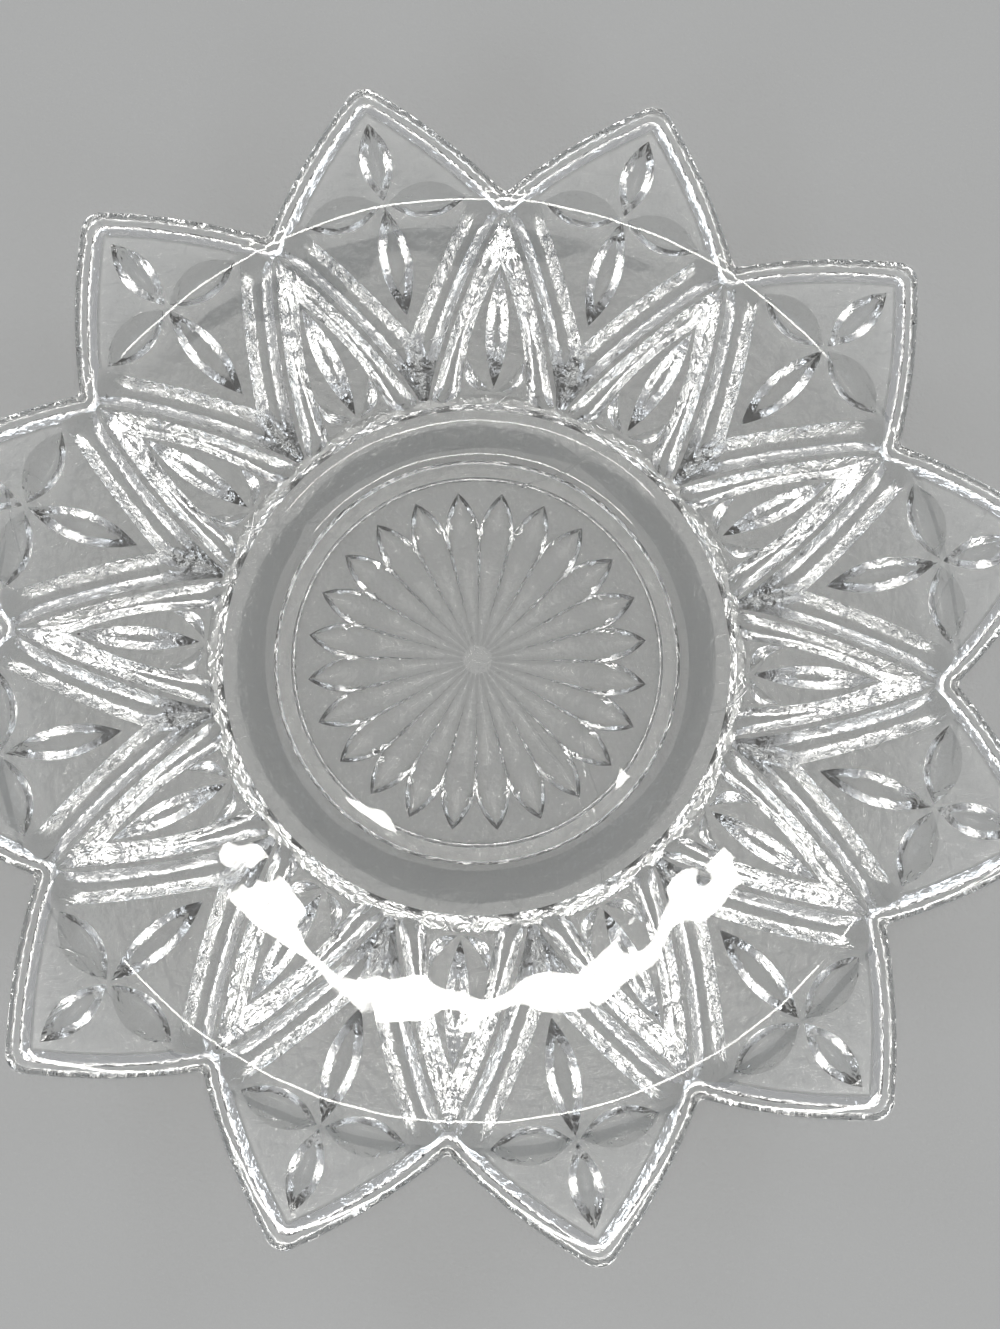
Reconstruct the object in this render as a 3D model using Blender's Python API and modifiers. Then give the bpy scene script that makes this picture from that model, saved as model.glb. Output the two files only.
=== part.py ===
"""Twelve-pointed pressed glass plate, modelled as the one piece of glass that it is.

The upper face is smooth. The whole pattern stands on the underside: a bead round the star outline,
twelve pointed arches of two ribs each, a four-petalled flower under each point, three leaves inside
each arch, and a rosette of rays inside the foot ring. The plate stands on the foot ring.

Metres, +Z up. The origin is the middle of the foot ring's resting face, and a point lies along +X.
"""

import math

import bmesh
import bpy
from mathutils import Matrix, Vector

# Star outline
POINT_COUNT = 12
NOTCH_RADIUS = 0.115  # the valleys between the points, where the plate folds upwards
POINT_REACH = 0.0245  # how far a point stands out past the notches
TIP_ROUNDING = 0.0052
SIDE_BOW = 0.0013  # how far a point's side bows outwards
NOTCH_WEB = 0.0008  # half the width of the flat at the bottom of a notch
BEAD_WIDTH = 0.0040

# Foot ring, and the channel between it and the arches
FOOT_OUTER_RADIUS = 0.0506
FOOT_WIDTH = 0.0054
FOOT_FLANK = 0.0007  # sideways run of each flank of the foot ring
FOOT_HEIGHT = 0.0016
CHANNEL_WIDTH = 0.0112

# Upper face, as rises from the flat of the well outwards
COVE_INSET = 0.0016  # the cove starts this far inside the foot ring's outer edge
COVE_WIDTH = 0.0120
COVE_RISE = 0.0036
SIDE_RISE = 0.0056  # from the cove to the notches
POINT_RISE = 0.0060  # from the notches to the tips

# Glass thickness and relief
GROUND_THICKNESS = 0.0034  # glass behind the pattern
WELL_THICKNESS = 0.0042
RELIEF_DEPTH = 0.0014  # how far ribs, bead and petals stand out below the ground

# Arches
BAR_WIDTH = 0.0039  # the ring-shaped bar that the arches stand on
BAR_FLANK = 0.0007
ARCH_APEX_GAP = 0.0012  # from the notch to the arch's outer apex
ARCH_BOW = 0.0020
RIB_GROOVE_WIDTH = 0.0009
GROOVE_END_GAP = 0.0012
INNER_RIB_FOOT_WIDTH = 0.0088
INNER_RIB_APEX_DEPTH = 0.0150
INNER_RIB_BOW = 0.0020
OUTER_RIB_FORK_RISE = 0.0158  # from the bar to where the outer ribs of neighbouring arches part
OUTER_RIB_BOW = 0.0008

# Petals under a point
FLOWER_OUTER_WIDTH = 0.0074
FLOWER_OUTER_GAP = 0.0033  # from the petal's end to the bead
FLOWER_SIDE_WIDTH = 0.0078
FLOWER_SIDE_GAP = 0.0027
FLOWER_SIDE_DROP = math.radians(7)  # the side petals lean this far towards the well
FLOWER_INNER_WIDTH = 0.0082
FLOWER_INNER_GAP = 0.0053  # from the petal's end to the fork of the outer ribs
PETAL_GAP = 0.0005  # from the heart of the flower to each petal

# Leaves inside an arch
LEAF_BASE_GAP = 0.0030  # from the bar to the long leaf
LEAF_APEX_GAP = 0.0029
LEAF_WIDTH = 0.0056
SIDE_LEAF_BASE_GAP = 0.0012
SIDE_LEAF_START = 0.0008  # how far each side leaf starts from the arch's middle
SIDE_LEAF_RISE = 0.0062  # from the base of a side leaf to its tip, along the arch
SIDE_LEAF_SPREAD = 0.0052  # and across the arch
SIDE_LEAF_WIDTH = 0.0026
SIDE_LEAF_BOW = 0.0013

# Rosette
RAY_COUNT = 24
RAY_PHASE = math.radians(5)  # the rosette is turned this far from the points
RAY_TIP_GAP = 0.0031  # from the rays' tips to the foot ring
RAY_TIP_LENGTH = 0.0066  # from a ray's shoulder to its tip
RAY_PARTING = 0.0043  # from where neighbouring rays part to their shoulders
RAY_WIDTH = 0.0072
RAY_DEPTH = 0.0011
RAY_EDGE_DEPTH = 0.0002

# Fineness
TURN_STEPS = 48
ARC_STEPS = 6
RIDGE_STATIONS = 6
ROOT_DEPTH = 0.0004  # how far petals, leaves and rays reach up into the glass
TANGENT_ROUNDS = 12  # enough for a side to settle on its tangent with the tip
MERGE_DISTANCE = 0.00001

SECTOR = 2 * math.pi / POINT_COUNT
TIP_RADIUS = NOTCH_RADIUS + POINT_REACH
REACH = TIP_RADIUS * 1.2  # past every edge, for cutters
WELL_TOP = FOOT_HEIGHT + WELL_THICKNESS
FOOT_INNER_RADIUS = FOOT_OUTER_RADIUS - FOOT_WIDTH
COVE_START_RADIUS = FOOT_OUTER_RADIUS - COVE_INSET
COVE_END_RADIUS = COVE_START_RADIUS + COVE_WIDTH
BAR_RADIUS = FOOT_OUTER_RADIUS + CHANNEL_WIDTH
BAR_TOP_RADIUS = BAR_RADIUS + BAR_WIDTH
FORK_RADIUS = BAR_TOP_RADIUS + OUTER_RIB_FORK_RISE
PANEL_APEX_RADIUS = NOTCH_RADIUS - ARCH_APEX_GAP - INNER_RIB_APEX_DEPTH
RAY_TIP_RADIUS = FOOT_INNER_RADIUS - RAY_TIP_GAP
RAY_SHOULDER_RADIUS = RAY_TIP_RADIUS - RAY_TIP_LENGTH
RAY_VALLEY_RADIUS = RAY_SHOULDER_RADIUS - RAY_PARTING
ARCH_FRAME = Matrix.Rotation(SECTOR / 2, 2)  # from a shape about +X to its place about an arch


def clear_scene():
    for obj in list(bpy.data.objects):
        bpy.data.objects.remove(obj, do_unlink=True)


def collection(name):
    made = bpy.data.collections.new(name)
    bpy.context.scene.collection.children.link(made)
    return made


def add_mesh(name, bm, where, helper=False):
    mesh = bpy.data.meshes.new(name)
    bm.to_mesh(mesh)
    bm.free()
    obj = bpy.data.objects.new(name, mesh)
    where.objects.link(obj)
    if helper:
        obj.hide_render = True
        obj.display_type = "WIRE"
    return obj


def boolean(obj, operation, other, overlapping=False):
    """A Boolean with the exact solver. Overlapping says that the other shape crosses itself."""
    made = obj.modifiers.new(operation.title(), "BOOLEAN")
    made.operation = operation
    made.object = other
    made.use_self = overlapping


# ---------------------------------------------------------------- section of the plate


def cove_points():
    """(radius, height) down the cove, an S-curve from the flat well to the side."""
    for step in range(ARC_STEPS + 1):
        share = step / ARC_STEPS
        rise = share * share * (3 - 2 * share)
        yield COVE_START_RADIUS + share * COVE_WIDTH, WELL_TOP + rise * COVE_RISE


def top_profile():
    """(radius, height) of the smooth upper face, from the middle of the well to past the tips."""
    fold_top = WELL_TOP + COVE_RISE + SIDE_RISE
    slope = POINT_RISE / POINT_REACH
    past_tips = fold_top + slope * (REACH - NOTCH_RADIUS)
    return [(0.0, WELL_TOP), *cove_points(), (NOTCH_RADIUS, fold_top), (REACH, past_tips)]


def top_height(radius):
    profile = top_profile()
    for (r0, z0), (r1, z1) in zip(profile, profile[1:]):
        if radius <= r1:
            return z0 + (z1 - z0) * (radius - r0) / (r1 - r0)
    return profile[-1][1]


def ground_height(radius):
    """Height of the underside between the raised parts of the pattern."""
    if radius < FOOT_OUTER_RADIUS:
        return FOOT_HEIGHT
    share = min(1.0, (radius - FOOT_OUTER_RADIUS) / CHANNEL_WIDTH)
    thickness = WELL_THICKNESS + share * (GROUND_THICKNESS - WELL_THICKNESS)
    return top_height(radius) - thickness


def raised_profile():
    """(radius, height) of the underside from past the tips inwards, ribs and bead left standing."""
    raised = [(r, ground_height(r) - RELIEF_DEPTH) for r in (REACH, NOTCH_RADIUS, BAR_RADIUS)]
    channel_edge = BAR_RADIUS - BAR_FLANK
    channel_middle = (FOOT_OUTER_RADIUS + channel_edge) / 2
    channel = [(r, ground_height(r)) for r in (channel_edge, channel_middle, FOOT_OUTER_RADIUS)]
    foot = [
        (FOOT_OUTER_RADIUS - FOOT_FLANK, 0.0),
        (FOOT_INNER_RADIUS + FOOT_FLANK, 0.0),
        (FOOT_INNER_RADIUS, FOOT_HEIGHT),
        (0.0, FOOT_HEIGHT),
    ]
    return raised + channel + foot


def turned(name, profile, where, helper=False):
    """A solid of revolution. The profile runs down its outer side, and no edge of it lies on +X."""
    half_step = math.pi / TURN_STEPS
    bm = bmesh.new()
    verts = [bm.verts.new((*at_angle(r, half_step), z)) for r, z in profile]
    for a, b in zip(verts, verts[1:]):
        bm.edges.new((a, b))
    obj = add_mesh(name, bm, where, helper)
    screw = obj.modifiers.new("Turn", "SCREW")
    screw.steps = screw.render_steps = TURN_STEPS
    screw.use_merge_vertices = True
    screw.merge_threshold = MERGE_DISTANCE
    return obj


# ---------------------------------------------------------------- flat outlines of one sector


def at_angle(radius, angle):
    """A point that far from the axis, turned from the middle of a point (+X) by angle."""
    return Vector((radius * math.cos(angle), radius * math.sin(angle)))


def on_arc(start, end, bow, share):
    """A point of the shallow arc from start to end that stands bow to the left of the straight line."""
    along = end - start
    left = Vector((-along.y, along.x)).normalized()
    return start + along * share + left * (4 * bow * share * (1 - share))


def bowed(start, end, bow):
    return [on_arc(start, end, bow, step / ARC_STEPS) for step in range(ARC_STEPS + 1)]


def mirrored(points):
    """The same points on the other side of the +X line, in reverse order."""
    return [Vector((p.x, -p.y)) for p in reversed(points)]


def both_sides(half):
    """A closed outline from the half that starts and ends on the +X line."""
    return half + mirrored(half)[1:-1]


def notch_corner():
    return at_angle(NOTCH_RADIUS, SECTOR / 2 - NOTCH_WEB / NOTCH_RADIUS)


def tip_side():
    """Middle of a tip's rounding, and the direction from it to where the bowed side runs in."""
    middle = Vector((TIP_RADIUS - TIP_ROUNDING, 0))
    angle = SECTOR
    for _ in range(TANGENT_ROUNDS):
        chord = middle + at_angle(TIP_ROUNDING, angle) - notch_corner()
        angle = math.atan2(chord.x, -chord.y) - math.atan(4 * SIDE_BOW / chord.length)
    return middle, angle


def half_point(inset=0.0):
    """One side of a point, from its notch to the middle of its tip, moved inwards by inset."""
    middle, angle = tip_side()
    rounding = max(TIP_ROUNDING - inset, MERGE_DISTANCE)
    outward = at_angle(1, angle)
    side = bowed(notch_corner() - outward * inset, middle + outward * rounding, SIDE_BOW)
    turns = [angle * (1 - step / ARC_STEPS) for step in range(1, ARC_STEPS + 1)]
    return side + [middle + at_angle(rounding, turn) for turn in turns]


def star_outline():
    half = half_point()
    point = half + mirrored(half)[1:]
    spins = [Matrix.Rotation(-k * SECTOR, 2) for k in range(POINT_COUNT)]
    return [spin @ p for spin in spins for p in point]


def bead_edge():
    """Inner edge of the bead on one side of a point, as far as it lies outside the notch circle."""
    return [p for p in half_point(BEAD_WIDTH) if p.length > NOTCH_RADIUS]


def kite():
    """Ground under a point: from the fork of the outer ribs to the bead."""
    edge = bead_edge()
    side = bowed(Vector((FORK_RADIUS, 0)), edge[0], -OUTER_RIB_BOW)
    return both_sides(side + edge[1:])


def arch_panel():
    """Ground inside an arch."""
    half_base = BAR_TOP_RADIUS * math.sin(SECTOR / 2) - INNER_RIB_FOOT_WIDTH
    corner = at_angle(BAR_TOP_RADIUS, math.asin(half_base / BAR_TOP_RADIUS))
    apex = Vector((PANEL_APEX_RADIUS, 0))
    half = [Vector((BAR_TOP_RADIUS, 0))] + bowed(corner, apex, INNER_RIB_BOW)
    return [ARCH_FRAME @ p for p in both_sides(half)]


def strip(line, width):
    """A narrow outline along a line, pointed at both ends."""
    left, right = [], []
    for before, here, after in zip(line, line[1:], line[2:]):
        along = (after - before).normalized()
        across = Vector((-along.y, along.x)) * width / 2
        left.append(here + across)
        right.append(here - across)
    return [line[0]] + left + [line[-1]] + right[::-1]


def arch_groove():
    """The groove between the two ribs of an arch, up one side and down the other."""
    foot = at_angle(BAR_RADIUS, SECTOR / 2)
    apex = Vector((NOTCH_RADIUS - ARCH_APEX_GAP, 0))
    start = foot + (apex - foot).normalized() * GROOVE_END_GAP
    side = bowed(start, apex, ARCH_BOW)
    return [ARCH_FRAME @ p for p in strip(side + mirrored(side)[1:], RIB_GROOVE_WIDTH)]


def fork_groove():
    """The groove between the outer ribs of neighbouring arches, up to where they part."""
    low = Vector((BAR_TOP_RADIUS, 0))
    high = Vector((FORK_RADIUS - GROOVE_END_GAP, 0))
    return strip([low, low.lerp(high, 0.5), high], RIB_GROOVE_WIDTH)


def ground_outlines():
    """Every outline of lowered ground on the underside."""
    for k in range(POINT_COUNT):
        spin = Matrix.Rotation(k * SECTOR, 2)
        for outline in (kite(), arch_panel(), arch_groove(), fork_groove()):
            yield [spin @ p for p in outline]


def prism(name, outlines, half_height, where):
    """Flat outlines filled as one curve and pulled up and down, then made a mesh."""
    curve = bpy.data.curves.new(name, "CURVE")
    curve.dimensions = "2D"
    curve.fill_mode = "BOTH"
    curve.extrude = half_height
    for outline in outlines:
        spline = curve.splines.new("POLY")
        spline.points.add(len(outline) - 1)
        spline.use_cyclic_u = True
        for point, p in zip(spline.points, outline):
            point.co = (p.x, p.y, 0, 1)
    drawn = bpy.data.objects.new(name, curve)
    where.objects.link(drawn)
    graph = bpy.context.evaluated_depsgraph_get()
    mesh = bpy.data.meshes.new_from_object(drawn.evaluated_get(graph))
    bpy.data.objects.remove(drawn)
    bm = bmesh.new()
    bm.from_mesh(mesh)
    bpy.data.meshes.remove(mesh)
    bmesh.ops.remove_doubles(bm, verts=bm.verts, dist=MERGE_DISTANCE)
    bmesh.ops.recalc_face_normals(bm, faces=bm.faces)
    return add_mesh(name, bm, where, helper=True)


# ---------------------------------------------------------------- petals, leaves and rays


def petal_shape(share):
    """How full a petal or leaf is at a share of its length."""
    return 4 * share * (1 - share)


def ridge(bm, line, width, depth):
    """A four-sided sphere drawn out along a line on the underside into a pointed ridge, whose widest
    section lies a little way up in the glass."""
    made = bmesh.ops.create_uvsphere(bm, u_segments=4, v_segments=RIDGE_STATIONS, radius=1)
    for vert in made["verts"]:
        share = math.acos(max(-1.0, min(1.0, vert.co.z))) / math.pi
        girth = max(math.hypot(vert.co.x, vert.co.y), MERGE_DISTANCE)
        swell = petal_shape(share)
        along = (line(share + 0.01) - line(share - 0.01)).normalized()
        half_width = width / 2 * (swell + ROOT_DEPTH / depth)
        place = line(share) + Vector((-along.y, along.x)) * half_width * vert.co.x / girth
        rise = (depth * swell + ROOT_DEPTH) * vert.co.y / girth
        vert.co = (*place, ground_height(place.length) + ROOT_DEPTH + rise)


def petal(start, end, width, bow=0.0):
    return (lambda share: on_arc(start, end, bow, share)), width


def flower():
    """The four petals under a point, about its heart on the notch circle."""
    heart = Vector((NOTCH_RADIUS, 0))
    edge = bead_edge()
    lean = math.pi / 2 + FLOWER_SIDE_DROP
    side_length = (edge[0] - heart).length - FLOWER_SIDE_GAP
    for angle, length, width in (
        (0, edge[-1].x - NOTCH_RADIUS - FLOWER_OUTER_GAP, FLOWER_OUTER_WIDTH),
        (math.pi, NOTCH_RADIUS - FORK_RADIUS - FLOWER_INNER_GAP, FLOWER_INNER_WIDTH),
        (lean, side_length, FLOWER_SIDE_WIDTH),
        (-lean, side_length, FLOWER_SIDE_WIDTH),
    ):
        yield petal(heart + at_angle(PETAL_GAP, angle), heart + at_angle(length, angle), width)


def arch_leaves():
    """The long leaf and the two bent side leaves inside an arch."""
    long_start = Vector((BAR_TOP_RADIUS + LEAF_BASE_GAP, 0))
    long_end = Vector((PANEL_APEX_RADIUS - LEAF_APEX_GAP, 0))
    yield petal(ARCH_FRAME @ long_start, ARCH_FRAME @ long_end, LEAF_WIDTH)
    for side in (1, -1):
        start = Vector((BAR_TOP_RADIUS + SIDE_LEAF_BASE_GAP, side * SIDE_LEAF_START))
        end = start + Vector((SIDE_LEAF_RISE, side * SIDE_LEAF_SPREAD))
        yield petal(ARCH_FRAME @ start, ARCH_FRAME @ end, SIDE_LEAF_WIDTH, side * SIDE_LEAF_BOW)


def petals_and_leaves(where):
    """All petals and leaves, as one mesh of separate ridges."""
    bm = bmesh.new()
    for line, width in [*flower(), *arch_leaves()]:
        for k in range(POINT_COUNT):
            spin = Matrix.Rotation(k * SECTOR, 2)
            ridge(bm, lambda share: spin @ line(share), width, RELIEF_DEPTH)
    bmesh.ops.recalc_face_normals(bm, faces=bm.faces)
    return add_mesh("petals_and_leaves", bm, where, helper=True)


def rosette(where):
    """All rays as one body: a fan of ridges that fall away at its edge, rooted in the glass."""
    bm = bmesh.new()
    turn = 2 * math.pi / RAY_COUNT
    root = FOOT_HEIGHT + ROOT_DEPTH
    edge = FOOT_HEIGHT - RAY_EDGE_DEPTH
    crest = FOOT_HEIGHT - RAY_DEPTH

    def corner(radius, angle, height):
        return bm.verts.new((*at_angle(radius, RAY_PHASE + angle), height))

    hub = corner(0, 0, edge)
    hub_root = corner(0, 0, root)
    rim = []
    crests = []
    for k in range(RAY_COUNT):
        middle = k * turn
        shoulder = math.asin(RAY_WIDTH / 2 / RAY_SHOULDER_RADIUS)
        for radius, angle in (
            (RAY_VALLEY_RADIUS, middle - turn / 2),
            (RAY_SHOULDER_RADIUS, middle - shoulder),
            (RAY_TIP_RADIUS, middle),
            (RAY_SHOULDER_RADIUS, middle + shoulder),
        ):
            rim.append((corner(radius, angle, edge), corner(radius, angle, root)))
        crests.append(corner(RAY_SHOULDER_RADIUS, middle, crest))
    for k, ((low, high), (next_low, next_high)) in enumerate(zip(rim, rim[1:] + rim[:1])):
        bm.faces.new((low, next_low, next_high, high))
        bm.faces.new((hub_root, high, next_high))
        bm.faces.new((crests[k // 4], low, next_low))
    for k, top in enumerate(crests):
        valleys = rim[4 * k][0], rim[(4 * k + 4) % len(rim)][0]
        for valley in valleys:
            bm.faces.new((hub, valley, top))
    bmesh.ops.recalc_face_normals(bm, faces=bm.faces)
    return add_mesh("rosette", bm, where, helper=True)


# ---------------------------------------------------------------- the plate


def clear_glass():
    material = bpy.data.materials.new("clear_glass")
    material.use_nodes = True
    shader = material.node_tree.nodes["Principled BSDF"]
    shader.inputs["Base Color"].default_value = (0.93, 0.95, 0.94, 1)
    shader.inputs["Roughness"].default_value = 0.03
    shader.inputs["Metallic"].default_value = 0.0
    shader.inputs["Transmission Weight"].default_value = 1.0
    shader.inputs["IOR"].default_value = 1.52
    return material


def ground_cutter(where):
    """What is pressed away between ribs and bead: the flat outlines, from the ground downwards."""
    below = -RELIEF_DEPTH * 4
    radii = (REACH, NOTCH_RADIUS, COVE_END_RADIUS, FOOT_OUTER_RADIUS)
    ground = [(r, ground_height(r)) for r in radii]
    middle = (0.0, ground[-1][1])
    zone = turned("ground_zone", [middle, *ground[::-1], (REACH, below), (0.0, below)], where, helper=True)
    cutter = prism("ground_cutter", ground_outlines(), REACH, where)
    boolean(cutter, "INTERSECT", zone)
    return cutter


def star_plate(where, cutters):
    plate = turned("star_plate", top_profile() + raised_profile(), where)
    boolean(plate, "INTERSECT", prism("star_outline", [star_outline()], REACH, cutters))
    boolean(plate, "DIFFERENCE", ground_cutter(cutters))
    boolean(plate, "UNION", petals_and_leaves(cutters))
    boolean(plate, "UNION", rosette(cutters))
    plate.data.materials.append(clear_glass())


def main():
    clear_scene()
    star_plate(collection("twelve_pointed_plate"), collection("cutters"))


main()
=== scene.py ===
"""A twelve-pointed plate of clear pressed glass on a plain pale floor, in soft studio light.

One half of one point is modelled with all its relief, cut along its two planes of symmetry, mirrored
and set round the axis twelve times. The well with its rosette is made from half of one ray in the
same way, and the two are joined on the foot ring's flat resting face.
"""

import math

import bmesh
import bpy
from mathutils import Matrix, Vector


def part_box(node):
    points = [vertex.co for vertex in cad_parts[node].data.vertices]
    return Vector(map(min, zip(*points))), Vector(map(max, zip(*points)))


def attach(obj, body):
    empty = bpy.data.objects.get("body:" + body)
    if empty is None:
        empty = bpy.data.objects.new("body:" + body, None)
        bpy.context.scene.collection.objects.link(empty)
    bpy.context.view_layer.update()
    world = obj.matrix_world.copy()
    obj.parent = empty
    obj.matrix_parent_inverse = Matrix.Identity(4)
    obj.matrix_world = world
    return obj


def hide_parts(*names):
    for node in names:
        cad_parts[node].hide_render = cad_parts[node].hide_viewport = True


bl_info = {
    "name": "Pressed Star Plate",
    "version": (1, 0, 0),
    "blender": (4, 5, 0),
    "location": "3D View > Sidebar > Star Plate",
    "description": "Models a twelve-pointed pressed glass plate and the studio it stands in",
    "category": "Add Mesh",
}

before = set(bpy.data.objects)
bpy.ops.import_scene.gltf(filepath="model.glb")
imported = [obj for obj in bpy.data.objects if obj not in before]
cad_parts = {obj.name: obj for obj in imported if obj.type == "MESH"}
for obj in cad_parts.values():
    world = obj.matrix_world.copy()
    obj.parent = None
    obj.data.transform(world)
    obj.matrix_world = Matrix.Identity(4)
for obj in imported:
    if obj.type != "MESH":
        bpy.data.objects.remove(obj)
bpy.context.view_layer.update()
PLATE_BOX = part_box("star_plate")

POINTS = 12
RAYS = 24
SECTOR = 2 * math.pi / POINTS
RAY_SECTOR = 2 * math.pi / RAYS
FLOOR_RADIUS = 1.6
FLOOR_GRAINS, FLOOR_GRAIN_DEPTH = 900, 0.0002
FLOOR_HEIGHT = -0.0002  # clear of the foot ring, so that the two faces don't cross
CAMERA_PLACE = (-0.0023, -0.0208, 0.2609)
SENSOR_WIDTH = 36
CAMERA_TURN = (math.radians(4.36), math.radians(-0.80), math.radians(-11.68))
MERGE = 0.00001  # points closer than this become one
SMOOTH_ANGLE = math.radians(26)  # edges that turn more than this stay sharp


# ------------------------------------------------------------------ sizes and colours


def length(name, description, default):
    return bpy.props.FloatProperty(
        name=name, description=description, default=default, subtype="DISTANCE", unit="LENGTH",
        precision=4,
    )


def ratio(name, description, default):
    return bpy.props.FloatProperty(name=name, description=description, default=default)


class OutlineSizes(bpy.types.PropertyGroup):
    """The plate seen from above, and its rim."""

    notch_radius: length("Notch radius", "From the axis to the valleys between points", 0.115)
    tip_radius: length("Tip radius", "From the axis to the tips of the points", PLATE_BOX[1].x)
    tip_rounding: length("Tip rounding", "Radius of the rounding of each tip", 0.0052)
    notch_rounding: length("Notch rounding", "Radius of the rounding of each notch", 0.0012)
    side_bow: length("Side bow", "How far a point's side bows outwards", 0.0013)
    rim_rounding: length("Rim rounding", "Radius of the rim's upper edge", 0.0015)
    bead_width: length("Bead width", "Width of the bead along the rim", 0.0042)
    bead_crest: length("Bead crest", "From the rim to the bead's lowest line", 0.0015)
    bead_depth: length("Bead depth", "How far the bead stands below the ground", 0.0027)
    groove_width: length("Groove width", "Width of the groove inside the bead", 0.0009)
    groove_depth: length("Groove depth", "Depth of the groove inside the bead", 0.0004)


class SectionSizes(bpy.types.PropertyGroup):
    """The plate cut through its axis."""

    foot_height: length("Foot height", "Height of the foot ring", 0.0020)
    foot_inner: length("Foot inner radius", "Inner radius of the foot ring", 0.0452)
    foot_outer: length("Foot outer radius", "Outer radius of the foot ring", 0.0506)
    foot_flank: length("Foot flank", "Sideways run of each flank of the foot ring", 0.0010)
    well_thickness: length("Well thickness", "Glass over the well and the foot ring", 0.0038)
    wall: length("Wall", "Glass behind the pattern", 0.0032)
    cove_start: length("Cove start", "Radius where the cove leaves the flat well", 0.0490)
    cove_end: length("Cove end", "Radius where the cove meets the side", 0.0610)
    cove_rise: length("Cove rise", "Height that the cove gains", 0.0036)
    side_rise: length("Side rise", "Height from the cove to the fold", 0.0056)
    fold_width: length("Fold width", "Width of the hollow that turns the side up to the points", 0.0080)
    fold_slope: ratio("Fold slope", "Slope of the hollow where it ends in a crease", 0.55)
    point_rise: length("Point rise", "Height from the notches to the tips", 0.0060)
    bar_inner: length("Bar inner radius", "Inner edge of the bar under the arches", 0.0618)
    bar_width: length("Bar width", "Width of the bar under the arches", 0.0039)
    bar_depth: length("Bar depth", "How far the bar stands below the ground", 0.0020)
    join: length("Join", "Radius where the rosette's ground meets the rest", 0.0438)
    eye: length("Eye", "Radius of the flat dot in the middle of the rosette", 0.0012)


class PatternSizes(bpy.types.PropertyGroup):
    """The relief on the underside."""

    steepness: ratio("Steepness", "Slope of a ridge's flanks", 1.06)
    crown: ratio("Crown", "Slope of a ridge's crown, between its flanks", 0.22)
    petal_flank: length("Petal flank", "Width of the flanks of petals and leaves", 0.0024)
    inner_flank: length("Inner rib flank", "Width of the flanks of the inner ribs", 0.0025)
    outer_flank: length("Outer rib flank", "Width of the flanks of the outer ribs", 0.0030)
    outer_steepness: ratio("Outer rib steepness", "Slope of the outer ribs' flanks", 1.20)
    ray_flank: length("Ray flank", "Width of the flanks along a ray's body", 0.0006)
    ray_tip_flank: length("Ray tip flank", "Width of the flanks at a ray's tip", 0.0016)
    ray_crown: ratio("Ray crown", "Slope of a ray's crown, between its flanks", 0.1)
    lap: length("Lap", "How far a rib runs past a plane of symmetry", 0.0003)
    fork: length("Fork", "Radius where the outer ribs of two arches part", 0.0815)
    kite_bow: length("Kite bow", "How far an outer rib bows under a point", 0.0008)
    arch_bow: length("Arch bow", "How far an arch's side bows outwards", 0.0020)
    rib_gap: length("Rib gap", "Ground between the two ribs of an arch", 0.0011)
    panel_apex: length("Panel apex", "Radius of the top of an arch's panel", 0.0988)
    inner_rib_foot: length("Inner rib foot", "Width of an inner rib on the bar", 0.0088)
    heart: length("Heart", "Radius of the middle of the flower on a point", 0.1147)
    petal_gap: length("Petal gap", "From the heart to each petal", 0.0005)
    outer_petal: length("Outer petal", "Radius of the outer petal's end", 0.1327)
    inner_petal: length("Inner petal", "Radius of the inner petal's end", 0.0869)
    side_petal: length("Side petal", "Length of a side petal", 0.0202)
    side_drop: length("Side drop", "How far a side petal's end lies inwards of the heart", 0.0020)
    petal_width: length("Petal width", "Width of the petals", 0.0080)
    leaf_start: length("Leaf start", "Radius where the long leaf starts", 0.0674)
    leaf_end: length("Leaf end", "Radius where the long leaf ends", 0.0968)
    leaf_width: length("Leaf width", "Width of the long leaf", 0.0058)
    side_leaf_rise: length("Side leaf rise", "Length of a side leaf along the arch", 0.0080)
    side_leaf_spread: length("Side leaf spread", "Length of a side leaf across the arch", 0.0070)
    side_leaf_bow: length("Side leaf bow", "How far a side leaf bows", 0.0020)
    side_leaf_steepness: ratio("Side leaf steepness", "Slope of the side leaves' flanks", 0.96)
    side_leaf_width: length("Side leaf width", "Width of a side leaf", 0.0029)
    ray_tip: length("Ray tip", "Radius of the rays' tips", 0.0421)
    ray_parting: length("Ray parting", "Radius where neighbouring rays part", 0.0312)
    ray_phase: bpy.props.FloatProperty(
        name="Ray phase", description="How far the rosette is turned from the points",
        default=math.radians(5), subtype="ANGLE", unit="ROTATION",
    )


class GlassLook(bpy.types.PropertyGroup):
    """The glass itself."""

    tint: bpy.props.FloatVectorProperty(
        name="Tint", description="Colour of the glass", size=3, subtype="COLOR",
        min=0, max=1, default=(0.985, 0.992, 0.988),
    )
    ior: bpy.props.FloatProperty(
        name="Index of refraction", description="How strongly the glass bends light", default=1.52,
    )


class StudioLook(bpy.types.PropertyGroup):
    """Floor, camera and lights."""

    floor_colour: bpy.props.FloatVectorProperty(
        name="Floor colour", description="Colour of the floor", size=3, subtype="COLOR",
        min=0, max=1, default=(0.54, 0.54, 0.535),
    )
    lens: bpy.props.FloatProperty(
        name="Lens", description="Focal length on a 36 mm sensor", default=28.3,
        subtype="DISTANCE_CAMERA", unit="CAMERA",
    )


GROUPS = {
    "outline": OutlineSizes, "section": SectionSizes, "pattern": PatternSizes, "glass": GlassLook,
    "studio": StudioLook,
}


def group(name):
    """One of the groups of sizes and colours, as the scene holds it."""
    return getattr(bpy.context.scene, "plate_" + name)


# ------------------------------------------------------------------ working with Blender's tools


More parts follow.
